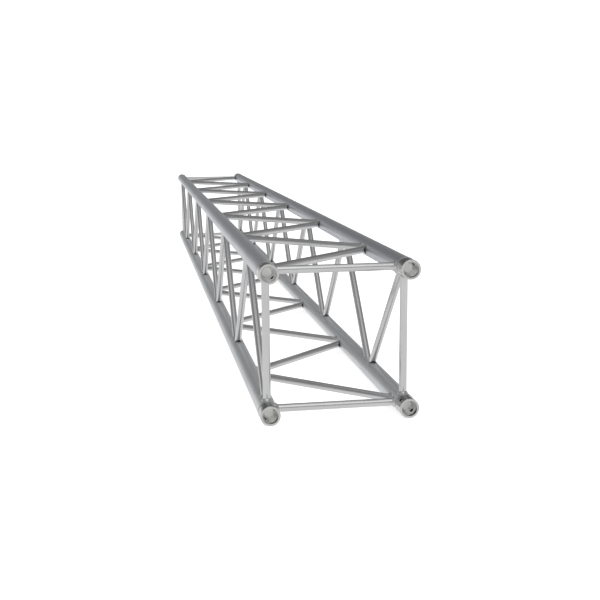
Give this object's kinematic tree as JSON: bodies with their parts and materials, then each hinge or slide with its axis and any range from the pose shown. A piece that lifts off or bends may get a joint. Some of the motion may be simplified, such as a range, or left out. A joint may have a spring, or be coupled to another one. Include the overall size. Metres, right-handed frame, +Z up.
{
  "type": "square lighting truss section",
  "caption": "Straight welded aluminium box truss with round chords, zigzag lacing on all four faces and conical receivers in the chord ends.",
  "frame": {"origin": "under the middle of the truss, on the surface that it rests on", "axes": "+X along the truss towards its rear end, +Y to the left seen from the front end, +Z up"},
  "size_m": [4, 0.402, 0.402],
  "materials": {
    "chord_tube": "extruded mill finish, slightly dulled",
    "brace_tube": "drawn mill finish",
    "machined_receiver": "turned, fine tool marks",
    "weld_metal": "as-welded ripples"
  },
  "bodies": {
    "root": {"butt_welds_front": "weld_metal", "butt_welds_rear": "weld_metal", "chord_bottom_left": "chord_tube", "chord_bottom_right": "chord_tube", "chord_top_left": "chord_tube", "chord_top_right": "chord_tube", "diagonal_bottom_01": "brace_tube", "diagonal_bottom_02": "brace_tube", "diagonal_bottom_03": "brace_tube", "diagonal_bottom_04": "brace_tube", "diagonal_bottom_05": "brace_tube", "diagonal_bottom_06": "brace_tube", "diagonal_bottom_07": "brace_tube", "diagonal_bottom_08": "brace_tube", "diagonal_bottom_09": "brace_tube", "diagonal_bottom_10": "brace_tube", "diagonal_bottom_11": "brace_tube", "diagonal_left_01": "brace_tube", "diagonal_left_02": "brace_tube", "diagonal_left_03": "brace_tube", "diagonal_left_04": "brace_tube", "diagonal_left_05": "brace_tube", "diagonal_left_06": "brace_tube", "diagonal_left_07": "brace_tube", "diagonal_left_08": "brace_tube", "diagonal_left_09": "brace_tube", "diagonal_left_10": "brace_tube", "diagonal_left_11": "brace_tube", "diagonal_right_01": "brace_tube", "diagonal_right_02": "brace_tube", "diagonal_right_03": "brace_tube", "diagonal_right_04": "brace_tube", "diagonal_right_05": "brace_tube", "diagonal_right_06": "brace_tube", "diagonal_right_07": "brace_tube", "diagonal_right_08": "brace_tube", "diagonal_right_09": "brace_tube", "diagonal_right_10": "brace_tube", "diagonal_right_11": "brace_tube", "diagonal_top_01": "brace_tube", "diagonal_top_02": "brace_tube", "diagonal_top_03": "brace_tube", "diagonal_top_04": "brace_tube", "diagonal_top_05": "brace_tube", "diagonal_top_06": "brace_tube", "diagonal_top_07": "brace_tube", "diagonal_top_08": "brace_tube", "diagonal_top_09": "brace_tube", "diagonal_top_10": "brace_tube", "diagonal_top_11": "brace_tube", "end_posts_front": "brace_tube", "end_posts_rear": "brace_tube", "receiver_front_bottom_left": "machined_receiver", "receiver_front_bottom_right": "machined_receiver", "receiver_front_top_left": "machined_receiver", "receiver_front_top_right": "machined_receiver", "receiver_rear_bottom_left": "machined_receiver", "receiver_rear_bottom_right": "machined_receiver", "receiver_rear_top_left": "machined_receiver", "receiver_rear_top_right": "machined_receiver"}
  },
  "joints": []
}
